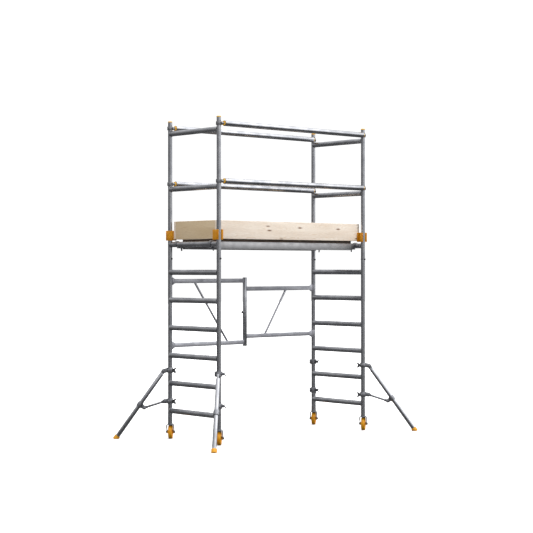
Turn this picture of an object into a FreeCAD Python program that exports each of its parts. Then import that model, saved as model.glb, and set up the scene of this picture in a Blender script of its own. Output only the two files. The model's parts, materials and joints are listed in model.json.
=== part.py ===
import FreeCAD, Part
import math
import os

# Mobile tower scaffold on castors: two ladder end frames with guardrail frames plugged on top,
# a folding gate between the back posts, a platform with a hatch, toe boards, four guardrails
# and four outriggers.  Millimetres.  +X runs along the bay, +Y to the back, +Z up, and the
# origin is on the floor under the middle of the tower.

# Driving dimensions
bay_length = 1800.0
frame_width = 680.0
rung_pitch = 250.0
first_rung_height = 258.0
lower_rung_count = 6

post_diameter = 40.0
post_wall = 2.5
post_foot_height = 140.0
post_top_height = 2862.0
rung_diameter = 48.0
rung_wall = 2.0
rung_bite = 12.0
frame_joint_rise = 92.0
spigot_length = 220.0
spigot_wall = 2.0
lock_pin_rise = 30.0
lock_pin_diameter = 8.0
lock_pin_head = 16.0
lock_pin_end = 8.0
top_hole_diameter = 9.0
top_hole_drop = 32.0
cap_rise = 10.0
cap_plug_length = 22.0
cap_overhang = 0.6

# Guardrails
rail_diameter = 50.0
rail_wall = 2.0
rail_offset = 30.0
mid_rail_height = 2305.0
top_rail_height = 2808.0
rail_end_gap = 37.0
claw_wall = 6.5
claw_height = 32.0
claw_horn = 14.0
claw_neck_diameter = 22.0
claw_plug = 35.0
trigger_diameter = 42.0
trigger_length = 7.0
trigger_travel = 9.0
trigger_height = 18.0
finger_inset = 1.5
finger_thickness = 6.5
finger_reach = 12.0

# Platform
deck_height = 1804.0
deck_thickness = 24.0
deck_length = 1646.0
deck_width = 510.0
beam_depth = 65.0
beam_width = 33.0
beam_wall = 2.5
cross_beam_width = 45.0
cross_beam_depth = 40.0
cross_beam_ledge = 15.0
hook_wall = 7.0
hook_inset = 2.0
hook_lip = 18.0
hook_leg_depth = 56.0
wind_lock_thickness = 5.0
wind_lock_setback = 14.0
wind_lock_drop = 4.0
wind_lock_rise = 3.0
wind_lock_depth = 7.0
wind_lock_eye = 8.0
wind_lock_reach = 54.0
wind_lock_tail = 24.0
wind_lock_tail_half = 6.0
hatch_length = 604.0
hatch_width = 404.0
hatch_start = 687.0
hatch_slot_length = 110.0
hatch_slot_width = 34.0
hatch_slot_margin = 34.0
hinge_pin_diameter = 6.0
hinge_barrel_wall = 2.5
hinge_knuckle = 22.0
hinge_leaf_width = 34.0
hinge_leaf_thickness = 2.5

# Toe boards and their corner clips
board_height = 162.0
board_thickness = 25.0
board_face_inset = 40.0
board_end_inset = 10.0
clip_height = 88.0
clip_drop = 9.0
clip_wall = 9.0
clip_mouth = 92.0
clip_lip_reach = 38.0
clip_lip_wall = 4.0
clip_plate = 4.0
clip_web_half = 12.0
clip_front_leg = 32.0
clip_side_leg = 52.0
clip_rib_count = 9
clip_rib = 1.5

# Gate between the back posts
gate_post_diameter = 40.0
gate_post_wall = 2.5
gate_post_foot = 810.0
gate_post_top = 1458.0
gate_rail_height = 40.0
gate_rail_depth = 20.0
gate_rail_wall = 2.0
wide_rail_heights = (847.0, 1428.0)
narrow_rail_heights = (903.0, 1351.0)
gate_bracket_reach = 48.0
gate_bracket_height = 68.0
gate_bracket_wall = 5.0
gate_bracket_cut = 5.0
gate_diagonal_diameter = 20.0
gate_diagonal_wall = 1.5
wide_diagonal = (-622.0, -208.0)
narrow_diagonal = (535.0, 247.0)
gate_pin_height = 1130.0
gate_pin_diameter = 10.0
gate_knob_diameter = 22.0
gate_knob_length = 10.0
gate_boss_length = 6.0

# Outriggers, seen in their own upright plane: distance from the post axis, then height
upper_coupler_height = 624.0
lower_coupler_height = 345.0
coupler_height = 46.0
coupler_wall = 8.0
coupler_split = 1.5
coupler_ear = 12.0
coupler_ear_inset = 2.0
flap_ear = 20.0
coupler_pin_offset = 34.0
coupler_pin_diameter = 10.0
upper_pivot = (59.0, 615.0)
lower_pivot = (51.0, 342.0)
knuckle_radius = 20.0
knuckle_cheek = 6.0
knuckle_tongue = 12.0
knuckle_pin = 10.0
outrigger_reach = 496.0
outrigger_tube_diameter = 38.0
outrigger_tube_wall = 2.5
outrigger_socket = 34.0
outrigger_plug = 20.0
foot_diameter = 50.0
foot_grip = 14.0
foot_sole = 18.0
foot_toe = 6.0
collar_distance = 373.0
collar_length = 46.0
collar_wall = 7.0
collar_lug_offset = 49.0
strut_diameter = 20.0
strut_eye_radius = 13.0
strut_eye_length = 24.0
open_pivot_play = 2.0
wing_bolt_diameter = 12.0
wing_bolt_offset = 38.0
wing_bolt_end = 4.0
wing_hub_diameter = 24.0
wing_hub_length = 18.0
wing_nut_gap = 1.0
wing_nut_travel = 8.0
wing_tip_radius = 33.0
wing_tip_flare = 37.0
wing_width = 9.0
wing_thickness = 7.0
wing_spread = 40.0

# Castors, seen with the wheel rolling along their own X
wheel_diameter = 125.0
wheel_width = 35.0
wheel_web = 20.0
wheel_hub_diameter = 34.0
wheel_shoulder = 5.0
wheel_rim_depth = 16.0
wheel_rim_slope = 4.0
hub_chamfer = 3.0
hub_side_gap = 1.0
wheel_trail = 35.0
castor_inner_width = 60.0
fork_plate = 4.0
fork_crown_gap = 4.0
fork_crown_length = 62.0
fork_eye_radius = 14.0
fork_shoulder_drop = 16.0
fork_bend = 12.0
brake_lug = 6.0
axle_diameter = 12.0
axle_nut_radius = 10.5
axle_nut_length = 8.0
king_pin_diameter = 12.0
king_pin_head = 18.0
king_pin_head_height = 5.0
bearing_diameter = 46.0
stem_length = 60.0
stem_wall = 3.0
stem_floor = 6.0
brake_pivot_forward = 54.0
brake_pin_diameter = 6.0
brake_width = 34.0
brake_length = 44.0
brake_thickness = 4.0
brake_eye = 5.5
brake_drop = 9.0

# Clearances
running_gap = 0.05
free_gap = 0.3
side_gap = 0.5
plug_gap = 0.25
hatch_gap = 3.0

# Values that follow
post_radius = post_diameter / 2
post_bore = post_radius - post_wall
half_bay = bay_length / 2
half_width = frame_width / 2
lower_rungs = [first_rung_height + rung_pitch * step for step in range(lower_rung_count)]
platform_rung = lower_rungs[-1] + rung_pitch
upper_rungs = [platform_rung + 2 * rung_pitch * step for step in range(3)]
frame_joint = lower_rungs[-1] + frame_joint_rise
lock_pin_height = frame_joint + lock_pin_rise
rail_radius = rail_diameter / 2
deck_bottom = deck_height - deck_thickness
hatch_low_x = -hatch_start
hatch_high_x = hatch_low_x + hatch_length
crown_bottom = wheel_diameter + fork_crown_gap
crown_top = crown_bottom + fork_plate
castor_outer_half = castor_inner_width / 2 + fork_plate

CORNERS = {
    "front_left": (-1, -1),
    "front_right": (1, -1),
    "back_left": (-1, 1),
    "back_right": (1, 1),
}
SIDES = {"left": -1, "right": 1}
CASTOR_TURNS = {"front_left": 43.0, "front_right": 38.0, "back_left": 45.0, "back_right": 39.0}
UP = FreeCAD.Vector(0, 0, 1)


def vec(x, y, z):
    return FreeCAD.Vector(x, y, z)


def rod(start, end, radius):
    """Round bar from start to end."""
    way = end - start
    return Part.makeCylinder(radius, way.Length, start, way)


def pipe(start, end, radius, wall):
    """Round tube from start to end."""
    return rod(start, end, radius).cut(rod(start, end, radius - wall))


def block(x, y, z):
    """Box from three (low, high) pairs."""
    low = vec(x[0], y[0], z[0])
    return Part.makeBox(x[1] - x[0], y[1] - y[0], z[1] - z[0], low)


def box_tube(x, y, z, wall, along):
    """Rectangular tube: a box hollowed along one axis."""
    spans = {"x": x, "y": y, "z": z}
    hollow = {axis: (low + wall, high - wall) for axis, (low, high) in spans.items()}
    hollow[along] = spans[along]
    return block(x, y, z).cut(block(hollow["x"], hollow["y"], hollow["z"]))


def ring(centre, height, radius, bore):
    """Upright ring whose middle is at centre."""
    low = centre - UP * (height / 2)
    high = centre + UP * (height / 2)
    return pipe(low, high, radius, radius - bore)


def joined(shapes):
    """One solid from shapes that run into each other."""
    return shapes[0].multiFuse(shapes[1:]).removeSplitter()


def placed(shape, angle, spot):
    """Copy of a shape turned about the upright axis and then moved."""
    copy = shape.copy()
    copy.rotate(vec(0, 0, 0), UP, angle)
    copy.translate(spot)
    return copy


def save(name, solids):
    """Write one node: a single solid or a group of separate solids."""
    shape = solids[0] if len(solids) == 1 else Part.makeCompound(solids)
    shape.exportStep("parts/" + name + ".step")
    print(name, len(shape.Solids), "solids", round(shape.Volume / 1000, 1), "cm3")


def signed(sign, near, far):
    """Low and high of a span that is measured outwards on one side of the middle."""
    return tuple(sorted((sign * near, sign * far)))


# ---------------------------------------------------------------- end frames

def lock_hole(x, y, height, diameter):
    start = vec(x, y - post_diameter, height)
    return rod(start, start + vec(0, 2 * post_diameter, 0), diameter / 2)


def post_pair(x, bottom, top):
    posts = []
    for y in (-half_width, half_width):
        posts.append(pipe(vec(x, y, bottom), vec(x, y, top), post_radius, post_wall))
    return posts


def rungs_between(x, bottom, top, heights):
    """Rungs whose ends are cut to saddle the two posts."""
    saddles = [rod(vec(x, y, bottom), vec(x, y, top), post_radius) for y in (-half_width, half_width)]
    reach = half_width - rung_bite
    made = []
    for height in heights:
        rung = pipe(vec(x, -reach, height), vec(x, reach, height), rung_diameter / 2, rung_wall)
        made.append(rung.cut(saddles[0]).cut(saddles[1]))
    return made


def lower_frame(x):
    posts = post_pair(x, post_foot_height, frame_joint)
    return posts + rungs_between(x, post_foot_height, frame_joint, lower_rungs)


def upper_frame(x):
    """Guardrail frame: lock holes at its foot and for the next frame at its top."""
    hole = lock_pin_diameter + 2 * plug_gap
    posts = []
    for post, y in zip(post_pair(x, frame_joint, post_top_height), (-half_width, half_width)):
        post = post.cut(lock_hole(x, y, lock_pin_height, hole))
        posts.append(post.cut(lock_hole(x, y, post_top_height - top_hole_drop, top_hole_diameter)))
    return posts + rungs_between(x, frame_joint, post_top_height, upper_rungs)


def spigot(x, y):
    """Sleeve fixed in the lower post, with a slightly thinner upper half for the upper post."""
    middle = vec(x, y, frame_joint)
    half = UP * (spigot_length / 2)
    fixed = pipe(middle - half, middle, post_bore, spigot_wall + plug_gap)
    bore = post_bore - spigot_wall - plug_gap
    free = pipe(middle, middle + half, post_bore - plug_gap, post_bore - plug_gap - bore)
    hole = lock_hole(x, y, lock_pin_height, lock_pin_diameter + 2 * plug_gap)
    return joined([fixed, free]).cut(hole)


def lock_pin(x, y):
    """Pin through the frame joint, its head on the front side."""
    front = vec(x, y - post_radius - plug_gap, lock_pin_height)
    shank = rod(front, front + vec(0, post_diameter + lock_pin_end, 0), lock_pin_diameter / 2)
    head = rod(front, front - vec(0, lock_pin_end, 0), lock_pin_head / 2)
    return joined([shank, head])


def post_cap(x, y):
    top = vec(x, y, post_top_height)
    plug = rod(top - UP * cap_plug_length, top, post_bore - plug_gap)
    head = rod(top, top + UP * cap_rise, post_radius + cap_overhang)
    rim = [edge for edge in head.Edges if abs(edge.CenterOfMass.z - head.BoundBox.ZMax) < 0.01]
    return joined([plug, head.makeFillet(cap_rise * 0.4, rim)])


def make_frames():
    posts = [(sx * half_bay, sy * half_width) for sx, sy in CORNERS.values()]
    for side, sign in SIDES.items():
        save(side + "_lower_frame", lower_frame(sign * half_bay))
        save(side + "_upper_frame", upper_frame(sign * half_bay))
    save("frame_spigots", [spigot(x, y) for x, y in posts])
    save("joint_lock_pins", [lock_pin(x, y) for x, y in posts])
    save("post_caps", [post_cap(x, y) for x, y in posts])


# ---------------------------------------------------------------- guardrails

def rail_spots():
    """Every guardrail's post row and height."""
    rows = (-half_width, half_width)
    return [(row, height) for row in rows for height in (mid_rail_height, top_rail_height)]


def guardrail(row, height):
    """Rail tube, notched at the back of each end for the trigger's arm."""
    y = row - rail_offset
    reach = half_bay - rail_end_gap
    tube = pipe(vec(-reach, y, height), vec(reach, y, height), rail_radius, rail_wall)
    half = trigger_height / 2 + side_gap
    for sign in (-1, 1):
        notch_x = signed(sign, reach - trigger_travel, reach + rail_wall)
        tube = tube.cut(block(notch_x, (y, y + rail_diameter), (height - half, height + half)))
    return tube


def claw(sign, row, height):
    """Claw at one rail end: a C round the post, open to the back, a neck and a plug in the rail."""
    axis = vec(sign * half_bay, row, height)
    bore = post_radius + free_gap
    outer = bore + claw_wall
    jaw = ring(axis, claw_height, outer, bore)
    y = row - rail_offset
    plug_x = half_bay - rail_end_gap - trigger_travel - side_gap
    plug_face = vec(sign * plug_x, y, height)
    neck = rod(vec(sign * half_bay, y, height), plug_face, claw_neck_diameter / 2)
    neck = neck.cut(rod(axis - UP * claw_height, axis + UP * claw_height, bore))
    plug = rod(plug_face, plug_face - vec(sign * claw_plug, 0, 0), rail_radius - rail_wall)
    middle = sign * half_bay
    tall = (height - claw_height, height + claw_height)
    mouth = block((middle - bore, middle + bore), (row, row + 2 * outer), tall)
    horn_end = block((middle - 2 * outer, middle + 2 * outer), (row + claw_horn, row + 2 * outer), tall)
    return joined([jaw.cut(mouth).cut(horn_end), neck, plug])


def trigger(sign, row, height):
    """Sprung collar on the claw's neck with a finger that shuts the claw behind the post."""
    near = half_bay - post_radius - free_gap - claw_wall - side_gap
    far = near - trigger_length
    y = row - rail_offset
    radius = trigger_diameter / 2
    collar = rod(vec(sign * near, y, height), vec(sign * far, y, height), radius)
    finger_y = row + post_radius - finger_inset
    half = trigger_height / 2
    tall = (height - half, height + half)
    arm = block(signed(sign, far, near), (y, finger_y + finger_thickness), tall)
    finger_x = signed(sign, far, half_bay - finger_reach)
    finger = block(finger_x, (finger_y, finger_y + finger_thickness), tall)
    bore = rod(vec(sign * (near + 1), y, height), vec(sign * (far - 1), y, height),
               claw_neck_diameter / 2 + running_gap)
    return joined([collar, arm, finger]).cut(bore)


def make_guardrails():
    spots = rail_spots()
    save("guardrail_tubes", [guardrail(row, height) for row, height in spots])
    save("guardrail_claws", [claw(s, row, height) for s in (-1, 1) for row, height in spots])
    for side, sign in SIDES.items():
        save("rail_triggers_" + side, [trigger(sign, row, height) for row, height in spots])


# ---------------------------------------------------------------- platform

def cross_beam_spans():
    """X spans of the cross beams: one at each end, one at each end of the hatch, one between."""
    half = deck_length / 2
    ledge = cross_beam_ledge
    width = cross_beam_width
    hatch_left = (hatch_low_x - hatch_gap - width + ledge, hatch_low_x - hatch_gap + ledge)
    hatch_right = (hatch_high_x + hatch_gap - ledge, hatch_high_x + hatch_gap + width - ledge)
    middle = (hatch_right[1] + half - width) / 2
    return [(-half, -half + width), hatch_left, hatch_right,
            (middle - width / 2, middle + width / 2), (half - width, half)]


def platform_frame():
    half = deck_length / 2
    outer = deck_width / 2
    height = (deck_bottom - beam_depth, deck_bottom)
    parts = []
    for sign in (-1, 1):
        width = signed(sign, outer - beam_width, outer)
        parts.append(box_tube((-half, half), width, height, beam_wall, "x"))
    inner = outer - beam_width
    cross_z = (deck_bottom - cross_beam_depth, deck_bottom)
    for span in cross_beam_spans():
        parts.append(box_tube(span, (-inner, inner), cross_z, beam_wall, "y"))
    return parts


def hook(sign, side):
    """Hook from one beam end over the platform rung."""
    seat = rung_diameter / 2 + free_gap
    outer = seat + hook_wall
    inner_y = deck_width / 2 - beam_width + hook_inset
    width = signed(side, inner_y, deck_width / 2 - hook_inset)
    low = vec(sign * half_bay, width[0], platform_rung)
    across = vec(0, width[1] - width[0], 0)
    crown = rod(low, low + across, outer)
    leg_x = signed(sign, deck_length / 2, half_bay - seat)
    leg = block(leg_x, width, (deck_bottom - hook_leg_depth, deck_bottom))
    bridge_x = signed(sign, deck_length / 2, half_bay)
    bridge = block(bridge_x, width, (platform_rung, deck_bottom))
    lip_x = signed(sign, half_bay + seat, half_bay + outer)
    lip = block(lip_x, width, (platform_rung - hook_lip, platform_rung))
    lower_half = block((sign * half_bay - 2 * outer, sign * half_bay + 2 * outer), width,
                       (platform_rung - 2 * outer, platform_rung))
    crown = crown.cut(lower_half)
    body = joined([crown, bridge, leg, lip])
    return body.cut(rod(low - across, low + across * 2, seat))


def wind_lock(sign, side):
    """Lever under the rung that keeps the wind from lifting the hook off."""
    hook_face = deck_width / 2 - beam_width + hook_inset
    y = signed(side, hook_face - side_gap - wind_lock_thickness, hook_face - side_gap)
    seat = rung_diameter / 2
    pivot_x = half_bay - seat - wind_lock_setback
    pivot_z = platform_rung - seat - wind_lock_drop
    top = pivot_z + wind_lock_rise
    bottom = pivot_z - wind_lock_depth
    tip = pivot_x + wind_lock_reach
    half = wind_lock_tail_half
    outline = [(pivot_x, top), (tip, top), (tip, bottom), (pivot_x + 2 * half, bottom),
               (pivot_x + half, bottom - wind_lock_tail), (pivot_x - half, bottom - wind_lock_tail),
               (pivot_x - half, bottom)]
    points = [vec(sign * x, y[0], z) for x, z in outline]
    plate = Part.Face(Part.makePolygon(points + points[:1])).extrude(vec(0, y[1] - y[0], 0))
    eye = rod(vec(sign * pivot_x, y[0], pivot_z), vec(sign * pivot_x, y[1], pivot_z), wind_lock_eye)
    return joined([plate, eye])


def leaf_centres():
    """Two hinge places along the hatch."""
    quarter = hatch_length / 4
    return (hatch_low_x + quarter, hatch_high_x - quarter)


def hinge_axis():
    barrel = hinge_pin_diameter / 2 + hinge_barrel_wall
    return hatch_width / 2 + hatch_gap / 2, deck_height + barrel, barrel


def deck():
    half = deck_length / 2
    outer = deck_width / 2
    panel = block((-half, half), (-outer, outer), (deck_bottom, deck_height))
    opening_y = hatch_width / 2 + hatch_gap
    hole = block((hatch_low_x - hatch_gap, hatch_high_x + hatch_gap), (-opening_y, opening_y),
                 (deck_bottom - 1, deck_height + 1))
    solids = [panel.cut(hole)]
    y, z, barrel = hinge_axis()
    for centre in leaf_centres():
        pin = rod(vec(centre - 1.5 * hinge_knuckle, y, z), vec(centre + 1.5 * hinge_knuckle, y, z),
                  hinge_pin_diameter / 2)
        leaf = [pin]
        for shift in (-hinge_knuckle, hinge_knuckle):
            span = (centre + shift - hinge_knuckle / 2, centre + shift + hinge_knuckle / 2)
            leaf.append(rod(vec(span[0], y, z), vec(span[1], y, z), barrel))
            leaf.append(block(span, (y + hatch_gap, y + hinge_leaf_width),
                              (deck_height, deck_height + hinge_leaf_thickness)))
            leaf.append(block(span, (y, y + hatch_gap + 1),
                              (deck_height, deck_height + hinge_leaf_thickness)))
        solids.append(joined(leaf))
    return solids


def hatch():
    half_y = hatch_width / 2
    slot_y = -half_y + hatch_slot_margin + hatch_slot_width / 2
    panel = block((hatch_low_x, hatch_high_x), (-half_y, half_y), (deck_bottom + free_gap, deck_height))
    middle = (hatch_low_x + hatch_high_x) / 2
    half_slot = (hatch_slot_length - hatch_slot_width) / 2
    depth = (deck_bottom - 1, deck_height + 1)
    cuts = [block((middle - half_slot, middle + half_slot),
                  (slot_y - hatch_slot_width / 2, slot_y + hatch_slot_width / 2), depth)]
    for shift in (-half_slot, half_slot):
        cuts.append(rod(vec(middle + shift, slot_y, depth[0]), vec(middle + shift, slot_y, depth[1]),
                        hatch_slot_width / 2))
    for cut in cuts:
        panel = panel.cut(cut)
    solids = [panel]
    y, z, barrel = hinge_axis()
    for centre in leaf_centres():
        half = hinge_knuckle / 2 - side_gap
        span = (centre - half, centre + half)
        knuckle = rod(vec(span[0], y, z), vec(span[1], y, z), barrel)
        plate = block(span, (y - hinge_leaf_width, y), (deck_height, deck_height + hinge_leaf_thickness))
        bore = rod(vec(span[0] - 1, y, z), vec(span[1] + 1, y, z), hinge_pin_diameter / 2 + running_gap)
        solids.append(joined([knuckle, plate]).cut(bore))
    return solids


def make_platform():
    ends = [(s, side) for s in (-1, 1) for side in (-1, 1)]
    save("platform_frame", platform_frame())
    save("platform_hooks", [hook(s, side) for s, side in ends])
    for name, sign in SIDES.items():
        save("wind_locks_" + name, [wind_lock(sign, side) for side in (-1, 1)])
    save("deck", deck())
    save("hatch", hatch())


# ---------------------------------------------------------------- toe boards

def toe_boards():
    height = (deck_height, deck_height + board_height)
    end = half_bay - board_end_inset
    face = half_width - board_face_inset
    boards = []
    for sign in (-1, 1):
        boards.append(block((-end, end), signed(sign, face - board_thickness, face), height))
    reach = face - board_thickness
    for sign in (-1, 1):
        boards.append(block(signed(sign, end - board_thickness, end), (-reach, reach), height))
    return boards


def board_clip(sx, sy):
    """Ribbed clip snapped on the post, open outwards, with legs for the boards at the corner.

    Only one clip at each end of the tower has the long leg over the end board.
    """
    low = deck_height - clip_drop
    span = (low, low + clip_height)
    axis = vec(sx * half_bay, sy * half_width, 0)
    outer = post_radius + clip_wall
    half_mouth = clip_mouth / 2
    sleeve = rod(axis + UP * span[0], axis + UP * span[1], outer)
    ribs = []
    for index in range(clip_rib_count):
        turn = sy * 90 + half_mouth + (360 - clip_mouth) * (index + 0.5) / clip_rib_count
        spot = axis + placed(Part.Vertex(outer, 0, 0), turn, vec(0, 0, 0)).Point
        ribs.append(rod(spot + UP * span[0], spot + UP * span[1], clip_rib))
    edge = 2 * outer
    slope = edge * math.tan(math.radians(half_mouth))
    corners = [axis, axis + vec(slope, sy * edge, 0), axis + vec(-slope, sy * edge, 0)]
    wedge = Part.Face(Part.makePolygon([p + UP * span[0] for p in corners + corners[:1]]))
    sleeve = joined([sleeve] + ribs).cut(wedge.extrude(UP * clip_height))
    lips = []
    for side in (-1, 1):
        lip = block((post_radius, clip_lip_reach), signed(side, 0, clip_lip_wall), span)
        lips.append(placed(lip, sy * 90 + side * half_mouth, axis))
    end = half_bay - board_end_inset
    face = half_width - board_face_inset
    corner_x = signed(sx, end - clip_front_leg, end + clip_plate)
    front = block(corner_x, signed(sy, face, face + clip_plate), span)
    web = block((axis.x - clip_web_half, axis.x + clip_web_half), signed(sy, face, half_width - post_radius), span)
    side_leg = clip_side_leg if sx * sy > 0 else 0
    side = block(signed(sx, end, end + clip_plate), signed(sy, face - side_leg, face + clip_plate), span)
    bore = rod(axis + UP * span[0], axis + UP * span[1], post_radius)
    return joined([sleeve, web, front, side] + lips).cut(bore)


def make_toe_boards():
    save("toe_boards", toe_boards())
    save("toe_board_clips", [board_clip(sx, sy) for sx, sy in CORNERS.values()])


# ---------------------------------------------------------------- folding gate

def gate_rail(start, end, height):
    half = gate_rail_depth / 2
    return box_tube((start, end), (half_width - half, half_width + half),
                    (height - gate_rail_height / 2, height + gate_rail_height / 2), gate_rail_wall, "x")


def gate_bracket(x, way, height, tall):
    """Half shell against the inner side of a post, flared down to the rail; way is the rail's side."""
    axis = vec(x, half_width, height)
    outer = post_radius + gate_bracket_wall
    band = rod(axis - UP * (tall / 2), axis + UP * (tall / 2), outer)
    keep = block(tuple(sorted((x + way * gate_bracket_cut, x + way * outer))),
                 (half_width - outer, half_width + outer), (height - tall, height + tall))
    half = gate_rail_depth / 2
    rail = gate_rail_height / 2
    outline = [(gate_bracket_cut, tall / 2), (outer, tall / 2), (gate_bracket_reach, rail),
               (gate_bracket_reach, -rail), (outer, -tall / 2), (gate_bracket_cut, -tall / 2)]
    points = [vec(x + way * out, half_width - half, height + up) for out, up in outline]
    lug = Part.Face(Part.makePolygon(points + points[:1])).extrude(vec(0, 2 * half, 0))
    post = rod(axis - UP * tall, axis + UP * tall, post_radius)
    return joined([band.common(keep), lug]).cut(post)


def gate_diagonal(top_x, bottom_x, heights):
    """Brace from under the top rail to the top of the bottom rail."""
    half = gate_rail_height / 2
    top = vec(top_x, half_width, heights[1])
    bottom = vec(bottom_x, half_width, heights[0])
    brace = pipe(top, bottom, gate_diagonal_diameter / 2, gate_diagonal_wall)
    for height in heights:
        rail = block((-half_bay, half_bay), (half_width - half_width / 4, half_width + half_width / 4),
                     (height - half, height + half))
        brace = brace.cut(rail)
    return brace


def gate_wide_leaf():
    start = -half_bay + gate_bracket_reach
    inner = -math.sqrt((gate_post_diameter / 2) ** 2 - (gate_rail_depth / 2) ** 2)
    parts = []
    post = rod(vec(0, half_width, gate_post_foot), vec(0, half_width, gate_post_top), gate_post_diameter / 2)
    for height in wide_rail_heights:
        parts.append(gate_rail(start, inner, height).cut(post))
        parts.append(gate_bracket(-half_bay, 1, height, gate_bracket_height))
    parts.append(gate_diagonal(wide_diagonal[0], wide_diagonal[1], wide_rail_heights))
    return parts


def gate_narrow_leaf():
    start = gate_bracket_reach
    end = half_bay - gate_bracket_reach
    parts = []
    for height in narrow_rail_heights:
        parts.append(gate_rail(start, end, height))
        parts.append(gate_bracket(0, 1, height, gate_rail_height))
        parts.append(gate_bracket(half_bay, -1, height, gate_bracket_height))
    parts.append(gate_diagonal(narrow_diagonal[0], narrow_diagonal[1], narrow_rail_heights))
    return parts


def gate_centre_post():
    """Hinge post of the gate with a boss on its left for the lock pin."""
    radius = gate_post_diameter / 2
    foot = vec(0, half_width, gate_post_foot)
    top = vec(0, half_width, gate_post_top)
    middle = vec(0, half_width, gate_pin_height)
    boss_end = middle - vec(radius + gate_boss_length, 0, 0)
    boss = rod(middle, boss_end, gate_pin_diameter)
    hollow = rod(foot, top, radius - gate_post_wall)
    bore = rod(middle, boss_end - vec(1, 0, 0), gate_pin_diameter / 2 + running_gap)
    return joined([rod(foot, top, radius), boss]).cut(hollow).cut(bore)


def gate_lock_pin():
    radius = gate_post_diameter / 2
    middle = vec(0, half_width, gate_pin_height)
    face = middle - vec(radius + gate_boss_length + side_gap, 0, 0)
    shank = rod(middle, face, gate_pin_diameter / 2)
    knob = rod(face, face - vec(gate_knob_length, 0, 0), gate_knob_diameter / 2)
    return joined([shank, knob])


def make_gate():
    save("gate_wide_leaf", gate_wide_leaf())
    save("gate_narrow_leaf", gate_narrow_leaf())
    save("gate_centre_post", [gate_centre_post()])
    save("gate_lock_pin", [gate_lock_pin()])


# ---------------------------------------------------------------- outriggers
# Each one is modelled pointing along +X from a post on the Z axis, then turned and moved.

def tube_way():
    """Unit direction of the outrigger tube, down and out from its pivot."""
    run = outrigger_reach - upper_pivot[0]
    return vec(run, 0, -upper_pivot[1]).normalize()


def tube_length():
    run = outrigger_reach - upper_pivot[0]
    return math.hypot(run, upper_pivot[1])


def on_tube(distance):
    return vec(upper_pivot[0], 0, upper_pivot[1]) + tube_way() * distance


def lug_point():
    """Pivot on the sliding collar's lug, square off the tube towards the post."""
    way = tube_way()
    return on_tube(collar_distance) + vec(way.z, 0, -way.x) * collar_lug_offset


def across(centre, width, radius):
    """Pin or boss along local Y with its middle at centre."""
    half = vec(0, width / 2, 0)
    return rod(centre - half, centre + half, radius)


def slab(outline, y_low, y_high):
    """Flat piece in the outrigger's plane, from its outline of (distance, height) points."""
    points = [vec(x, y_low, z) for x, z in outline]
    return Part.Face(Part.makePolygon(points + points[:1])).extrude(vec(0, y_high - y_low, 0))


def link_bar(start, end, radius, width):
    """Flat bar with round ends between two points of the outrigger's plane."""
    way = (end - start).normalize()
    square = vec(-way.z, 0, way.x) * radius
    outline = [start + square, end + square, end - square, start - square]
    bar = slab([(p.x, p.z) for p in outline], -width / 2, width / 2)
    return joined([bar, across(start, width, radius), across(end, width, radius)])


def coupler(height, pivot, nut_side):
    """Half coupler: body with knuckle cheeks, hinged flap, hinge pin and T-bolt."""
    axis = vec(0, 0, height)
    bore = post_radius + running_gap
    outer = bore + coupler_wall
    band = ring(axis, coupler_height, outer, bore)
    tall = (height - coupler_height / 2, height + coupler_height / 2)
    reach = wing_bolt_offset + coupler_ear
    gap = coupler_split / 2
    ear_z = (height - coupler_ear, height + coupler_ear)
    ear_y = signed(nut_side, bore + 1, wing_bolt_offset + coupler_ear - coupler_ear_inset)
    pin_y = signed(-nut_side, bore + 1, coupler_pin_offset)
    pin_spot = vec(0, -nut_side * coupler_pin_offset, height)
    hinge_pin = rod(pin_spot - UP * (coupler_height / 2), pin_spot + UP * (coupler_height / 2), coupler_pin_diameter / 2)
    pivot_point = vec(pivot[0], 0, pivot[1])
    root_point = vec(outer - 4, 0, height)
    gap_width = knuckle_tongue + 2 * side_gap
    lug = link_bar(root_point, pivot_point, knuckle_radius, gap_width + 2 * knuckle_cheek)
    slot_start = vec(outer + 3, 0, height)
    deep = 3 * knuckle_radius
    slot = block((slot_start.x, slot_start.x + deep), (-gap_width / 2, gap_width / 2), (height - deep, height + deep))
    clear = rod(axis - UP * coupler_height, axis + UP * coupler_height, bore)
    body = joined([band, block((gap, coupler_ear), ear_y, ear_z), block((gap, coupler_ear), pin_y, tall), lug])
    body = body.cut(block((-2 * reach, gap), (-2 * reach, 2 * reach), tall)).cut(slot).cut(clear)
    knuckle_bolt = across(pivot_point, gap_width + 4 * knuckle_cheek, knuckle_pin / 2)
    flap = joined([band, block((-flap_ear, -gap), ear_y, ear_z), block((-coupler_ear, -gap), pin_y, tall)])
    flap = flap.cut(block((-gap, 2 * reach), (-2 * reach, 2 * reach), tall)).cut(clear)
    bolt_y = nut_side * wing_bolt_offset
    bolt_start = vec(coupler_ear + wing_bolt_end, bolt_y, height)
    bolt_reach = flap_ear + wing_nut_gap + wing_hub_length + wing_nut_travel + wing_bolt_end
    bolt_end = vec(-bolt_reach, bolt_y, height)
    bolt = rod(bolt_start, bolt_end, wing_bolt_diameter / 2)
    bolt_head = rod(bolt_start, bolt_start - vec(wing_bolt_end, 0, 0), wing_bolt_diameter * 0.8)
    body = joined([body.cut(bolt).cut(hinge_pin), knuckle_bolt])
    return [body, flap.cut(bolt).cut(hinge_pin), hinge_pin, joined([bolt, bolt_head]).cut(body)]


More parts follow.
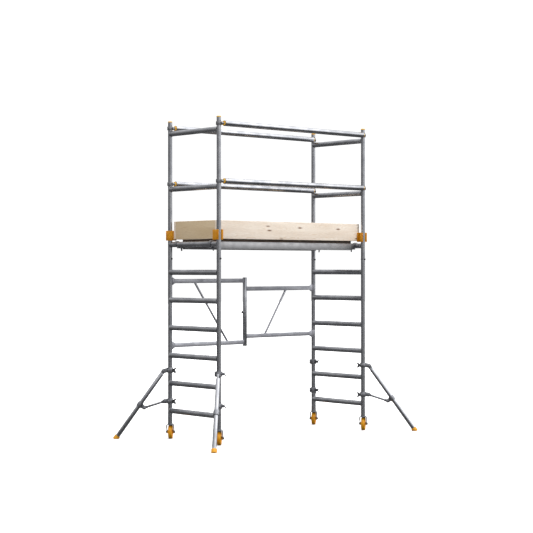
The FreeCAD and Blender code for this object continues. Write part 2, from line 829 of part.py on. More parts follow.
def wing_nut(height, nut_side):
    """Nut with four splayed wings on the inner end of the T-bolt."""
    hub_start = vec(-flap_ear - wing_nut_gap, nut_side * wing_bolt_offset, height)
    hub_end = hub_start - vec(wing_hub_length, 0, 0)
    hub = rod(hub_start, hub_end, wing_hub_diameter / 2)
    half = wing_thickness / 2
    root = wing_bolt_diameter / 2
    outline = [(0, root), (-wing_hub_length, root), (-wing_tip_flare, wing_tip_radius - wing_width),
               (-wing_tip_flare + wing_width / 3, wing_tip_radius),
               (-wing_tip_flare + wing_width, wing_tip_radius)]
    wings = []
    for turn in (wing_spread, 180 - wing_spread, 180 + wing_spread, -wing_spread):
        points = [hub_start + vec(along, out, -half) for along, out in outline]
        wing = Part.Face(Part.makePolygon(points + points[:1])).extrude(UP * wing_thickness)
        wing.rotate(hub_start, vec(1, 0, 0), turn)
        wings.append(wing)
    bore = rod(hub_start + vec(1, 0, 0), hub_end - vec(wing_tip_flare, 0, 0), wing_bolt_diameter / 2 + running_gap)
    return joined([hub] + wings).cut(bore)


def outrigger_tube():
    """Leg tube with a solid socket and a tongue that sits between the upper knuckle's cheeks."""
    radius = outrigger_tube_diameter / 2
    start = on_tube(outrigger_socket)
    end = on_tube(tube_length() - foot_sole)
    tube = pipe(start, end, radius, outrigger_tube_wall)
    plug = rod(start, on_tube(outrigger_socket + outrigger_plug), radius)
    pivot = on_tube(0)
    tongue = link_bar(pivot, on_tube(outrigger_socket + 4), knuckle_radius - 2, knuckle_tongue)
    eye = across(pivot, 2 * knuckle_tongue, knuckle_pin / 2 + running_gap)
    return joined([tube, plug, tongue]).cut(eye)


def outrigger_foot():
    """Rubber foot over the tube's end, ground flat where it stands on the floor."""
    length = tube_length()
    radius = foot_diameter / 2
    body = rod(on_tube(length - foot_sole - foot_grip), on_tube(length + foot_toe), radius)
    below = block((0, 2 * outrigger_reach), (-foot_diameter, foot_diameter), (-foot_diameter, 0))
    socket = rod(on_tube(length - foot_sole - foot_grip - 1), on_tube(length - foot_sole),
                 outrigger_tube_diameter / 2)
    return body.cut(socket).cut(below)


def outrigger_collar():
    """Sleeve that slides on the tube, with two cheeks for the strut."""
    radius = outrigger_tube_diameter / 2
    half = collar_length / 2
    sleeve = rod(on_tube(collar_distance - half), on_tube(collar_distance + half), radius + collar_wall)
    lug = lug_point()
    gap_width = knuckle_tongue + 2 * side_gap
    cheeks = link_bar(on_tube(collar_distance), lug, knuckle_radius - 3, gap_width + 2 * knuckle_cheek)
    way = (lug - on_tube(collar_distance)).normalize()
    slot_from = on_tube(collar_distance) + way * (radius + collar_wall + 1)
    slot_bar = link_bar(slot_from + way * knuckle_radius * 1.5, lug + way * 3 * knuckle_radius,
                        knuckle_radius * 1.5, gap_width)
    bore = rod(on_tube(collar_distance - 2 * half), on_tube(collar_distance + 2 * half), radius + running_gap)
    pin = across(lug, gap_width + 2 * knuckle_cheek + 6, knuckle_pin / 2)
    return joined([joined([sleeve, cheeks]).cut(slot_bar).cut(bore), pin])


def outrigger_strut():
    """Round strut with flat eyes; the eye at the collar has play."""
    start = vec(lower_pivot[0], 0, lower_pivot[1])
    end = lug_point()
    way = (end - start).normalize()
    bar = rod(start + way * strut_eye_length, end - way * strut_eye_length, strut_diameter / 2)
    eyes = [link_bar(start, start + way * strut_eye_length, strut_eye_radius, knuckle_tongue),
            link_bar(end, end - way * strut_eye_length, strut_eye_radius, knuckle_tongue)]
    body = joined([bar] + eyes)
    body = body.cut(across(start, 2 * knuckle_tongue, knuckle_pin / 2 + running_gap))
    return body.cut(across(end, 2 * knuckle_tongue, knuckle_pin / 2 + open_pivot_play))


def make_outriggers():
    for name, (sx, sy) in CORNERS.items():
        angle = math.degrees(math.atan2(sy, sx))
        spot = vec(sx * half_bay, sy * half_width, 0)
        nut_side = -sx
        pieces = {
            "couplers": coupler(upper_coupler_height, upper_pivot, nut_side)
            + coupler(lower_coupler_height, lower_pivot, nut_side),
            "wing_nuts": [wing_nut(upper_coupler_height, nut_side), wing_nut(lower_coupler_height, nut_side)],
            "tube": [outrigger_tube()],
            "foot": [outrigger_foot()],
            "collar": [outrigger_collar()],
            "strut": [outrigger_strut()],
        }
        for piece, solids in pieces.items():
            save("outrigger_" + piece + "_" + name, [placed(solid, angle, spot) for solid in solids])


# ---------------------------------------------------------------- castors
# Each one is modelled with its king pin on the Z axis, the wheel trailing along +X.

def castor_stem():
    """Plug in the post's foot with a flange and the king pin under it."""
    flange = rod(vec(0, 0, crown_top + side_gap), vec(0, 0, post_foot_height), bearing_diameter / 2)
    plug = rod(vec(0, 0, post_foot_height), vec(0, 0, post_foot_height + stem_length), post_bore - plug_gap)
    king_pin = rod(vec(0, 0, crown_bottom - side_gap), vec(0, 0, post_foot_height), king_pin_diameter / 2)
    head_low = crown_bottom - side_gap - king_pin_head_height
    head = rod(vec(0, 0, head_low), vec(0, 0, crown_bottom - side_gap), king_pin_head / 2)
    hollow = rod(vec(0, 0, post_foot_height + stem_floor), vec(0, 0, post_foot_height + stem_length + 1),
                 post_bore - plug_gap - stem_wall)
    return joined([flange, plug, king_pin, head]).cut(hollow)


def axle_point():
    return vec(wheel_trail, 0, wheel_diameter / 2)


def bent_strip(x, half, z, bend):
    """Block along X whose two upper long edges are rounded."""
    body = block(x, (-half, half), z)
    edges = [e for e in body.Edges if abs(e.BoundBox.XLength - (x[1] - x[0])) < 0.01 and e.BoundBox.ZMin > z[1] - 0.01]
    return body.makeFillet(bend, edges)


def castor_fork():
    """Pressed fork with round shoulders and an axle bolt, turning under the stem's flange."""
    half = castor_outer_half
    back = -bearing_diameter / 2
    front = back + fork_crown_length
    axle = axle_point()
    eye = fork_eye_radius
    far = axle.x + 2 * eye
    foot = axle.z - 2 * eye
    outside = bent_strip((back, far), half, (foot, crown_top), fork_bend)
    inside = bent_strip((back - 1, far + 1), half - fork_plate, (foot - 1, crown_bottom), fork_bend - fork_plate)
    outline = [(back, crown_top), (front, crown_top), (front, crown_top - fork_shoulder_drop),
               (axle.x + eye, axle.z), (axle.x - eye, axle.z), (back, crown_top - fork_shoulder_drop)]
    side = joined([slab(outline, -half, half), across(axle, 2 * half, eye)])
    shell = outside.cut(inside).common(side)
    disc = rod(vec(0, 0, crown_bottom), vec(0, 0, crown_top), bearing_diameter / 2)
    lugs = []
    pivot = brake_point()
    for sign in (-1, 1):
        y = signed(sign, brake_width / 2 + side_gap, half - fork_bend + fork_plate)
        lugs.append(block((front - brake_lug, pivot.x), y, (pivot.z - brake_lug, crown_top)))
        lugs.append(rod(vec(pivot.x, y[0], pivot.z), vec(pivot.x, y[1], pivot.z), brake_lug))
    king_hole = rod(vec(0, 0, crown_bottom - 1), vec(0, 0, crown_top + 1), king_pin_diameter / 2 + running_gap)
    bolt = across(axle, 2 * half + 2 * axle_nut_length, axle_diameter / 2)
    nuts = [across(axle + vec(0, sign * (half + axle_nut_length / 2), 0), axle_nut_length, axle_nut_radius)
            for sign in (-1, 1)]
    pin = across(pivot, brake_width + brake_lug, brake_pin_diameter / 2)
    frame = joined([shell, disc] + lugs + [pin]).cut(king_hole)
    return [frame.cut(bolt), joined([bolt] + nuts)]


def castor_wheel():
    """Wheel turned from its profile: tread with round shoulders, thin web and long hub."""
    radius = wheel_diameter / 2
    rim = radius - wheel_rim_depth
    slope = rim + wheel_rim_slope
    shoulder = wheel_shoulder
    ease = shoulder * (1 - math.sqrt(0.5))
    hub_half = castor_inner_width / 2 - hub_side_gap
    half = wheel_width / 2
    web = wheel_web / 2
    bore = axle_diameter / 2 + running_gap
    hub = wheel_hub_diameter / 2
    one_side = [(bore, hub_half), (hub - hub_chamfer, hub_half), (hub, web), (rim, web), (slope, half),
                (radius - shoulder, half), (radius - ease, half - ease), (radius, half - shoulder)]
    profile = [(out, -along) for out, along in one_side] + one_side[::-1]
    axle = axle_point()
    points = [axle + vec(distance, along, 0) for distance, along in profile]
    face = Part.Face(Part.makePolygon(points + points[:1]))
    return face.revolve(axle, vec(0, 1, 0), 360)


def brake_point():
    """Brake pedal pivot, just beyond the crown."""
    return vec(brake_pivot_forward, 0, crown_bottom)


def castor_brake():
    """Pedal that presses on the tread."""
    pivot = brake_point()
    half = brake_width / 2
    eye = across(pivot, brake_width, brake_eye)
    toe = pivot + vec(brake_length, 0, -brake_drop)
    outline = [(pivot.x, pivot.z + brake_eye), (toe.x, toe.z + brake_thickness),
               (toe.x + brake_thickness, toe.z), (toe.x, toe.z - 1), (pivot.x + brake_thickness, pivot.z)]
    plate = slab(outline, -half, half)
    bore = across(pivot, 2 * brake_width, brake_pin_diameter / 2 + running_gap)
    return joined([eye, plate]).cut(bore)


def make_castors():
    stems = []
    for name, (sx, sy) in CORNERS.items():
        spot = vec(sx * half_bay, sy * half_width, 0)
        turn = CASTOR_TURNS[name]
        stems.append(placed(castor_stem(), turn, spot))
        save("castor_fork_" + name, [placed(solid, turn, spot) for solid in castor_fork()])
        save("castor_wheel_" + name, [placed(castor_wheel(), turn, spot)])
        save("castor_brake_" + name, [placed(castor_brake(), turn, spot)])
    save("castor_stems", stems)


os.makedirs("parts", exist_ok=True)
make_frames()
make_guardrails()
make_platform()
make_toe_boards()
make_gate()
make_outriggers()
make_castors()
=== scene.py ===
# %% [markdown]
# # A mobile tower scaffold, dressed over its CAD frame
# The imported CAD model holds every size and every joint. This lesson loads it, gives each part the
# finish of the real one, and rebuilds the parts whose form a plain CAD solid only hints at: fluted
# ladder rungs with their welds and the timber boards; the pressed castors keep their CAD form with
# rounded edges. Everything is in metres, in the CAD model's own frame: +X along the bay, +Y to the back, +Z
# up.

# %% Load the frame
import math

import bmesh
import bpy
from mathutils import Matrix, Vector
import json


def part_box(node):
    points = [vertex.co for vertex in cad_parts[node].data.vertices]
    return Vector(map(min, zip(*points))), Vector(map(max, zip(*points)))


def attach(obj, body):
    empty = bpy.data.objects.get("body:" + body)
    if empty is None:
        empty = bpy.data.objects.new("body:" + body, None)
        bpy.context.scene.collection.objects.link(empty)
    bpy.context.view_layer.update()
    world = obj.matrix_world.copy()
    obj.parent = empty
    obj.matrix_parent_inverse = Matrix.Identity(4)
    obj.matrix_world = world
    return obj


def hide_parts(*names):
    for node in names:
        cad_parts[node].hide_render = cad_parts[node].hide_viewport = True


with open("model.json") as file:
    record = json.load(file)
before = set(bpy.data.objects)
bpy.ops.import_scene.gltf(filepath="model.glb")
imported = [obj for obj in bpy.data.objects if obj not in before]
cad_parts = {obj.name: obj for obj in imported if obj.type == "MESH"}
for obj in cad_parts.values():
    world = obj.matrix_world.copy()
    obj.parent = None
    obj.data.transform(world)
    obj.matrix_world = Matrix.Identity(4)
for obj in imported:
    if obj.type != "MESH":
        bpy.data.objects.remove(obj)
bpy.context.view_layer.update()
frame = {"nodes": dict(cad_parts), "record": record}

# %% [markdown]
# ## Sizes read from the frame
# A box can't tell the radius of a tube or the pitch of the rungs, so those are written down here
# once, in millimetres.

# %% Sizes from the CAD nodes
MM = 0.001
CORNERS = {"front_left": (-1, -1), "front_right": (1, -1), "back_left": (-1, 1), "back_right": (1, 1)}
SIDES = {"left": -1, "right": 1}


def middle(node):
    """Middle of a CAD node's box."""
    low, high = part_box(node)
    return (low + high) / 2


lower_low, lower_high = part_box("left_lower_frame")
upper_low, upper_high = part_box("left_upper_frame")
HALF_BAY = middle("right_lower_frame").x
POST_RADIUS = 20 * MM
HALF_WIDTH = lower_high.y - POST_RADIUS
POST_FOOT = lower_low.z
FRAME_JOINT = lower_high.z
POST_TOP = upper_high.z
RUNG_PITCH = 250 * MM
FIRST_RUNG = 258 * MM
LOWER_RUNGS = 6
PLATFORM_RUNG = FIRST_RUNG + LOWER_RUNGS * RUNG_PITCH
RUNG_RADIUS = 24 * MM
RUNG_BITE = 12 * MM
DECK_LOW, DECK_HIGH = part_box("deck")
print(f"bay {2 * HALF_BAY:.3f} m, frame width {2 * HALF_WIDTH:.3f} m, post top {POST_TOP:.3f} m")

# %% [markdown]
# ## Two small helpers
# Colours are written as the hex values that a colour picker shows, which are sRGB, while shaders work
# in linear light, so one function converts them. Shader trees and geometry trees are built from the
# same kind of call: make a node, set it, and plug in its inputs.

# %% Colour and node helpers
def linear(code):
    """sRGB hex such as "C8AA7A" to a linear RGBA tuple."""
    channels = [int(code[i:i + 2], 16) / 255 for i in (0, 2, 4)]
    return tuple(c / 12.92 if c <= 0.04045 else ((c + 0.055) / 1.055) ** 2.4 for c in channels) + (1.0,)


def add(tree, kind, links=None, **settings):
    """Adds a node; links maps an input's name or number to a value or to another node's socket."""
    made = tree.nodes.new(kind)
    for key, value in settings.items():
        setattr(made, key, value)
    for key, value in (links or {}).items():
        socket = made.inputs[key]
        if isinstance(value, bpy.types.NodeSocket):
            tree.links.new(value, socket)
        else:
            socket.default_value = value
    return made


def new_material(name):
    """A named material and its emptied tree."""
    material = bpy.data.materials.new(name)
    material.use_nodes = True
    material.node_tree.nodes.clear()
    return material, material.node_tree


def finish_material(tree, settings):
    """One principled shader with these inputs, plugged into the material's output."""
    shader = add(tree, "ShaderNodeBsdfPrincipled", settings)
    add(tree, "ShaderNodeOutputMaterial", {"Surface": shader.outputs["BSDF"]})


def stretched(tree, per_mm):
    """Object coordinates scaled so that one unit of pattern is the given number of millimetres."""
    place = add(tree, "ShaderNodeTexCoord")
    scale = tuple(1000.0 / size for size in per_mm)
    return add(tree, "ShaderNodeMapping", {"Vector": place.outputs["Object"], "Scale": scale}).outputs[0]


def ramp(tree, factor, stops, interpolation="LINEAR"):
    """Colour ramp from (position, colour) stops."""
    made = add(tree, "ShaderNodeValToRGB", {"Fac": factor})
    made.color_ramp.interpolation = interpolation
    elements = made.color_ramp.elements
    while len(elements) < len(stops):
        elements.new(0.5)
    for element, (position, colour) in zip(elements, stops):
        element.position = position
        element.color = colour
    return made.outputs["Color"]


def grey(value):
    """Opaque colour with the same value in red, green and blue."""
    return (value, value, value, 1.0)


def noise(tree, per_mm, detail):
    """Noise whose lumps have the given size in millimetres along x, y and z."""
    links = {"Vector": stretched(tree, per_mm), "Scale": 1.0, "Detail": detail}
    return add(tree, "ShaderNodeTexNoise", links).outputs["Fac"]


def maths(tree, operation, *values):
    """One calculation on numbers or sockets."""
    return add(tree, "ShaderNodeMath", dict(enumerate(values)), operation=operation).outputs[0]


def spread(tree, value, source, target, **settings):
    """Stretches the source range over the target range."""
    links = {"Value": value, "From Min": source[0], "From Max": source[1],
             "To Min": target[0], "To Max": target[1]}
    return add(tree, "ShaderNodeMapRange", links, **settings).outputs[0]


def bumped(tree, height, strength, millimetres):
    """Normal that leans as if the surface rose by this much."""
    links = {"Height": height, "Strength": strength, "Distance": millimetres * MM}
    return add(tree, "ShaderNodeBump", links).outputs[0]


def blended(tree, factor, first, second, **settings):
    """Mix of two colours."""
    links = {0: factor, 6: first, 7: second}
    return add(tree, "ShaderNodeMix", links, data_type="RGBA", **settings).outputs[2]


# %% [markdown]
# ## Drawn aluminium tube
# Posts, rungs, rails and outrigger legs are 6000-series aluminium pushed through a die and left as it
# comes: a soft grey sheen with very fine lines along the tube, dulled in cloudy patches where it has
# been handled. The lines follow the tube, so the pattern is stretched three hundredfold along one
# axis. Real die lines are a fraction of a millimetre apart; they are drawn 3 mm apart so that they show.

# %% Aluminium finishes
DIE_LINE = 3.0
HANDLED_PATCH = 90.0
LINE_RUN = 900.0


def drawn_aluminium(name, along, tone="C9CACF", dull="AEB0B6", rough=(0.22, 0.32)):
    """Extruded tube; along is the axis of its die lines."""
    material, tree = new_material(name)
    sizes = {axis: DIE_LINE for axis in "xyz"}
    sizes[along] = LINE_RUN
    lines = noise(tree, sizes.values(), 3.0)
    clouds = noise(tree, [HANDLED_PATCH] * 3, 4.0)
    colour = ramp(tree, clouds, [(0.35, linear(dull)), (0.65, linear(tone))])
    finish_material(tree, {"Base Color": colour, "Metallic": 1.0,
                           "Roughness": spread(tree, clouds, (0.3, 0.7), (rough[1], rough[0])),
                           "Normal": bumped(tree, lines, 0.05, 0.1)})
    return material


POST_ALUMINIUM = drawn_aluminium("Drawn_aluminium_post", "z")
RUNG_ALUMINIUM = drawn_aluminium("Drawn_aluminium_rung", "y")
RAIL_ALUMINIUM = drawn_aluminium("Drawn_aluminium_rail", "x", tone="D2D3D8", rough=(0.16, 0.26))
SATIN = (0.45, 0.6)
GATE_ALUMINIUM = drawn_aluminium("Extruded_aluminium_gate", "x", "D4D5DC", "BFC0C8", SATIN)
BEAM_ALUMINIUM = drawn_aluminium("Extruded_aluminium_beam", "x", "D6D6D8", "C2C2C5", SATIN)
print("aluminium finishes:", 5)

# %% [markdown]
# ## Steel, castings and welds
# Couplers, forks, bolts and hooks are steel with a thin zinc coat, which is greyer than aluminium and
# has a faint spangle of crystals a few millimetres across. The claws are cast alloy, so their skin is
# grainy like orange peel. Weld beads are the same aluminium as the tubes, rougher and brighter.

# %% Zinc-plated steel, cast alloy, weld metal, dark steel
SPANGLE = 6.0
STAIN = 40.0
CASTING_GRAIN = 1.6
BEAD_GRAIN = 1.0


def zinc_steel(name, tone, dull, rough):
    """Plated steel: crystals shift the colour and the gloss a little from cell to cell."""
    material, tree = new_material(name)
    spangle = add(tree, "ShaderNodeTexVoronoi", {"Vector": stretched(tree, [SPANGLE] * 3), "Scale": 1.0})
    cells = spangle.outputs["Color"]
    clouds = noise(tree, [STAIN] * 3, 5.0)
    blend = maths(tree, "MULTIPLY", cells, clouds)
    finish_material(tree, {"Base Color": ramp(tree, blend, [(0.1, linear(dull)), (0.5, linear(tone))]),
                           "Metallic": 1.0,
                           "Roughness": spread(tree, cells, (0.0, 1.0), (rough - 0.06, rough + 0.1)),
                           "Normal": bumped(tree, clouds, 0.2, 0.4)})
    return material


def cast_alloy(name, tone, rough, grain):
    """Sand-cast or welded metal with a grainy skin."""
    material, tree = new_material(name)
    skin = noise(tree, [grain] * 3, 2.0)
    finish_material(tree, {"Base Color": ramp(tree, skin, [(0.3, linear("8B8C90")), (0.6, linear(tone))]),
                           "Metallic": 1.0, "Roughness": rough, "Normal": bumped(tree, skin, 0.5, 0.4)})
    return material


ZINC = zinc_steel("Zinc_plated_steel", "BDBEC3", "8E9096", 0.42)
DARK_ZINC = zinc_steel("Zinc_plated_nut", "77787C", "4A4B4E", 0.5)
CASTING = cast_alloy("Cast_aluminium_claw", "A9AAAE", 0.5, CASTING_GRAIN)
WELD = cast_alloy("Aluminium_weld_bead", "C6C7C9", 0.45, BEAD_GRAIN)
print("steel and castings:", 4)

# %% [markdown]
# ## Moulded plastics and rubber
# The caps, triggers and board clips are moulded in warm yellow, the wheels are cast polyurethane and
# the feet rubber. A moulded skin is even in colour but finely textured by the mould, so the detail is
# in the roughness and a shallow bump. A little light sinks into the plastic, which keeps its shaded
# side warm.

# %% Plastic and rubber finishes
DUST = 35.0


def moulded(name, tone, shade, rough, grain, depth, soft=0.0):
    """Plastic or rubber: the mould's texture as bump, dusty variation in tone."""
    material, tree = new_material(name)
    texture = noise(tree, [grain] * 3, 2.0)
    dust = noise(tree, [DUST] * 3, 4.0)
    finish_material(tree, {"Base Color": ramp(tree, dust, [(0.35, linear(shade)), (0.6, linear(tone))]),
                           "Roughness": spread(tree, dust, (0.0, 1.0), (rough + 0.12, rough - 0.08)),
                           "Normal": bumped(tree, texture, 0.3, depth),
                           "Subsurface Weight": soft, "Subsurface Scale": 2 * MM})
    return material


CLIP_PLASTIC = moulded("Moulded_polypropylene_clip", "D38F15", "C2810F", 0.42, 1.2, 0.15, 0.1)
CAP_PLASTIC = moulded("Moulded_polyethylene_cap", "E8B54A", "DDA63C", 0.45, 1.2, 0.15, 0.1)
WHEEL_PU = moulded("Cast_polyurethane_wheel", "DE9B1C", "CC8810", 0.38, 2.5, 0.1, 0.15)
FOOT_RUBBER = moulded("Moulded_rubber_foot", "E0A030", "CF9024", 0.6, 0.9, 0.3)
print("plastics and rubber:", 4)

# %% [markdown]
# ## Planed spruce
# The toe boards are pale spruce planed to 25 mm. Its yearly rings meet the face as long, almost
# parallel streaks about 7 mm apart, bent round a few dark knots. The streaks are a saw-tooth of the
# height, which a slow noise bends; a wide, flat Voronoi pattern places the knots, and its distance
# both darkens the knot and pushes the streaks aside, as real grain flows round one. The end boards
# have fewer knots, and their darker, browner tones are painted shade for end faces that get less light.

# %% Spruce finish
RING_WIDTH = 7.0
GRAIN_RUN = 260.0
KNOT_LENGTH = 37.0
SIDE_KNOTS = (230.0, 62.0)
END_KNOTS = (360.0, 120.0)
FIBRE = (0.9, 30.0)
BOARD_DEPTH = 400.0


def spruce(name, along, spacing, tones):
    """Planed softwood; along is the board's long axis, spacing how far apart its knots lie."""
    across = "y" if along == "x" else "x"
    material, tree = new_material(name)

    def sizes(run, thickness, height):
        values = {along: run, across: thickness, "z": height}
        return [values[axis] for axis in "xyz"]

    cells = stretched(tree, sizes(spacing[0], BOARD_DEPTH, spacing[1]))
    knots = add(tree, "ShaderNodeTexVoronoi", {"Vector": cells, "Scale": 1.0, "Randomness": 1.0},
                feature="F1").outputs["Distance"]
    edge = KNOT_LENGTH / spacing[0]
    knot = spread(tree, knots, (0.3 * edge, edge), (1.0, 0.0))
    push = spread(tree, knots, (0.05, 0.5), (2.5, 0.0), interpolation_type="SMOOTHSTEP")
    flow = noise(tree, sizes(GRAIN_RUN * 1.5, 60.0, 45.0), 2.0)
    shift = maths(tree, "ADD", maths(tree, "MULTIPLY", flow, 9.0), push)
    place = add(tree, "ShaderNodeTexCoord")
    height = add(tree, "ShaderNodeSeparateXYZ", {"Vector": place.outputs["Object"]}).outputs["Z"]
    level = maths(tree, "MULTIPLY", height, 1000.0 / RING_WIDTH)
    turn = maths(tree, "FRACT", maths(tree, "ADD", level, shift))
    late = ramp(tree, turn, [(0.0, grey(0.0)), (0.55, grey(0.25)), (0.85, grey(1.0)), (1.0, grey(0.0))])
    fibres = noise(tree, sizes(FIBRE[1], FIBRE[0], FIBRE[0]), 2.0)
    patch = noise(tree, sizes(420.0, 80.0, 55.0), 3.0)
    base = ramp(tree, patch, [(0.3, linear(tones[0])), (0.7, linear(tones[1]))])
    ringed = blended(tree, maths(tree, "MULTIPLY", late, 0.45), base, linear(tones[2]))
    hair = spread(tree, fibres, (0.3, 0.7), (0.86, 1.06))
    fibred = blended(tree, 1.0, ringed, hair, blend_type="MULTIPLY")
    knotted = blended(tree, knot, fibred, linear("6E4A2C"))
    finish_material(tree, {"Base Color": knotted, "Roughness": 0.62,
                           "Normal": bumped(tree, fibres, 0.25, 0.3)})
    return material


SPRUCE_LONG = spruce("Planed_spruce_side_board", "x", SIDE_KNOTS, ("DDCFC0", "EBE2D7", "C8A880"))
# The end boards' darker, browner tones are painted shade: the same spruce, darkened because their faces get
# less light.
SPRUCE_END_PAINTED_SHADE = spruce("Planed_spruce_end_board_painted_shade", "y", END_KNOTS, ("CDB795", "DAC7A9", "B08E62"))
print("timber finishes:", 2)

# %% [markdown]
# ## Film-faced plywood
# The deck and hatch are birch plywood with a dark resin film. The film is pressed with a wire mesh, so
# the walking face carries a grid of small diamonds about 6 mm across, worn paler on top.

# %% Deck finish
MESH_PITCH = 6.0
WORN_PATCH = 120.0


def mesh_plywood(name):
    """Resin film with a pressed wire pattern."""
    material, tree = new_material(name)
    place = stretched(tree, [MESH_PITCH] * 3)
    turned = add(tree, "ShaderNodeMapping", {"Vector": place, "Rotation": (0.0, 0.0, math.radians(45))})
    bars = [add(tree, "ShaderNodeTexWave", {"Vector": turned.outputs[0], "Scale": 0.5},
                wave_type="BANDS", bands_direction=axis).outputs["Fac"] for axis in ("X", "Y")]
    grid = maths(tree, "MAXIMUM", *bars)
    worn = maths(tree, "MULTIPLY", grid, noise(tree, [WORN_PATCH] * 3, 5.0))
    colour = ramp(tree, worn, [(0.15, linear("2E2520")), (0.75, linear("5B4A3F"))])
    finish_material(tree, {"Base Color": colour, "Roughness": 0.55,
                           "Normal": bumped(tree, grid, 0.6, 0.6)})
    return material


DECK_PLY = mesh_plywood("Film_faced_birch_plywood")
print("deck finish ready")

# %% [markdown]
# ## Turning a CAD part into a finished one
# A casting or pressing has no sharp edges. The CAD solid already has the right form, so a copy of its
# mesh is merged into one skin and its edges are rounded by a bevel of the radius that the real part
# has. The copy then stands for the CAD node, which stays hidden underneath for the physics.

# %% Helpers that make finished pieces
MERGE_DISTANCE = 0.01 * MM
FLAT_ANGLE = 1.0


def body_of(node):
    """Name of the CAD body that a node belongs to."""
    bodies = frame["record"]["behaviour"]["bodies"]
    return next(body for body, nodes in bodies.items() if node in nodes)


def link(piece):
    """Puts a piece into the scene and hands it back."""
    bpy.context.scene.collection.objects.link(piece)
    return piece


def baked(piece):
    """Applies every modifier by swapping in the evaluated mesh."""
    bpy.context.view_layer.update()
    depsgraph = bpy.context.evaluated_depsgraph_get()
    mesh = bpy.data.meshes.new_from_object(piece.evaluated_get(depsgraph), preserve_all_data_layers=True,
                                           depsgraph=depsgraph)
    piece.modifiers.clear()
    piece.data = mesh
    return piece


def smooth_by_angle(mesh, limit=35.0):
    """Smooth shading with edges sharper than the limit kept crisp."""
    edit = bmesh.new()
    edit.from_mesh(mesh)
    for face in edit.faces:
        face.smooth = True
    for edge in edit.edges:
        sharp = len(edge.link_faces) != 2 or edge.calc_face_angle(0.0) > math.radians(limit)
        edge.smooth = not sharp
    edit.to_mesh(mesh)
    edit.free()
    return mesh


def settle(piece, node, body=None):
    """Hands a finished piece to the frame: it stands for the node and rides on its body."""
    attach(piece, body or body_of(node))
    return piece


def finished(node, material, radius, segments=2, angle=32.0):
    """Copy of a CAD node with rounded edges, standing for it."""
    source = frame["nodes"][node]
    mesh = source.data.copy()
    mesh.materials.clear()
    mesh.materials.append(material)
    edit = bmesh.new()
    edit.from_mesh(mesh)
    bmesh.ops.remove_doubles(edit, verts=edit.verts, dist=MERGE_DISTANCE)
    bmesh.ops.dissolve_limit(edit, angle_limit=math.radians(FLAT_ANGLE), verts=edit.verts, edges=edit.edges)
    edit.to_mesh(mesh)
    edit.free()
    piece = link(bpy.data.objects.new(node + "_finished", mesh))
    bevel = piece.modifiers.new("Rounded", "BEVEL")
    bevel.width = radius * MM
    bevel.segments = segments
    bevel.limit_method = "ANGLE"
    bevel.angle_limit = math.radians(angle)
    baked(piece)
    smooth_by_angle(piece.data)
    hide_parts(node)
    return settle(piece, node)


def report(pieces):
    """Prints the face count of each piece."""
    for piece in pieces:
        print(piece.name, len(piece.data.polygons), "faces")

# %% [markdown]
# ## A geometry tree for straight tubes
# Nearly everything here is tube, so one Geometry Nodes tree makes it. It takes a mesh of loose edges,
# one edge for each tube, turns the edges into curves and sweeps a circle along them. The result is
# baked to a plain mesh at once.

# %% Geometry tree helpers
def new_tree(name, inputs):
    """Geometry tree with these inputs beside its geometry; returns it and its input sockets."""
    tree = bpy.data.node_groups.new(name, "GeometryNodeTree")
    tree.is_modifier = True
    tree.interface.new_socket(name="Geometry", in_out="INPUT", socket_type="NodeSocketGeometry")
    tree.interface.new_socket(name="Geometry", in_out="OUTPUT", socket_type="NodeSocketGeometry")
    for label, kind in inputs.items():
        tree.interface.new_socket(name=label, in_out="INPUT", socket_type="NodeSocket" + kind)
    return tree, add(tree, "NodeGroupInput").outputs


def end_tree(tree, geometry, finish):
    """Every tree ends the same way: real geometry, one finish, output."""
    real = add(tree, "GeometryNodeRealizeInstances", {"Geometry": geometry})
    dressed = add(tree, "GeometryNodeSetMaterial", {"Geometry": real.outputs[0], "Material": finish})
    add(tree, "NodeGroupOutput", {"Geometry": dressed.outputs[0]})
    return tree


def grown(name, tree, values, points=(), edges=()):
    """New object from points and edges, run through a geometry tree with these values, and baked."""
    mesh = bpy.data.meshes.new(name)
    mesh.from_pydata([tuple(p) for p in points], list(edges), [])
    piece = bpy.data.objects.new(name, mesh)
    modifier = piece.modifiers.new(tree.name, "NODES")
    modifier.node_group = tree
    for item in tree.interface.items_tree:
        if item.in_out == "INPUT" and item.name in values:
            modifier[item.identifier] = values[item.name]
    link(piece)
    return baked(piece)


# %% The tube tree
def tube_tree():
    """Sweeps a circle along every loose edge."""
    tree, given = new_tree("Straight tubes", {"Radius": "Float", "Sides": "Int", "Finish": "Material"})
    curve = add(tree, "GeometryNodeMeshToCurve", {"Mesh": given["Geometry"]})
    circle = add(tree, "GeometryNodeCurvePrimitiveCircle",
                 {"Resolution": given["Sides"], "Radius": given["Radius"]})
    tubes_made = add(tree, "GeometryNodeCurveToMesh",
                     {"Curve": curve.outputs[0], "Profile Curve": circle.outputs[0], "Fill Caps": True})
    return end_tree(tree, tubes_made.outputs[0], given["Finish"])


TUBES = tube_tree()


def tubes(name, lines, radius, finish, sides):
    """Straight tubes along (start, end) pairs."""
    points = [point for line in lines for point in line]
    edges = [(2 * index, 2 * index + 1) for index in range(len(lines))]
    piece = grown(name, TUBES, {"Radius": radius, "Sides": sides, "Finish": finish}, points, edges)
    smooth_by_angle(piece.data, 50.0)
    print(name, len(piece.data.polygons), "faces")
    return piece


# %% [markdown]
# ## Ladder rungs and their welds
# A ladder frame follows a rule: the same rung every 250 mm, welded to both posts. So a tree repeats
# one rung up a line of points, and another repeats the weld. The bead is a ring that follows the line
# where a wide rung meets a slimmer post: it hugs the post across the middle and runs flat at the
# sides. Its ripples come from the welder's even steps.

# %% Rung and weld trees
RUNG_FLUTES = 32
FLUTE_DEPTH = 0.35 * MM
BEAD_RADIUS = 2.6 * MM
BEAD_STEPS = 26
BEAD_SIDES = 8
RIPPLE = (0.85, 1.1)
SIDES_PER_FLUTE = 4.0
POINTS_PER_STEP = 4.0


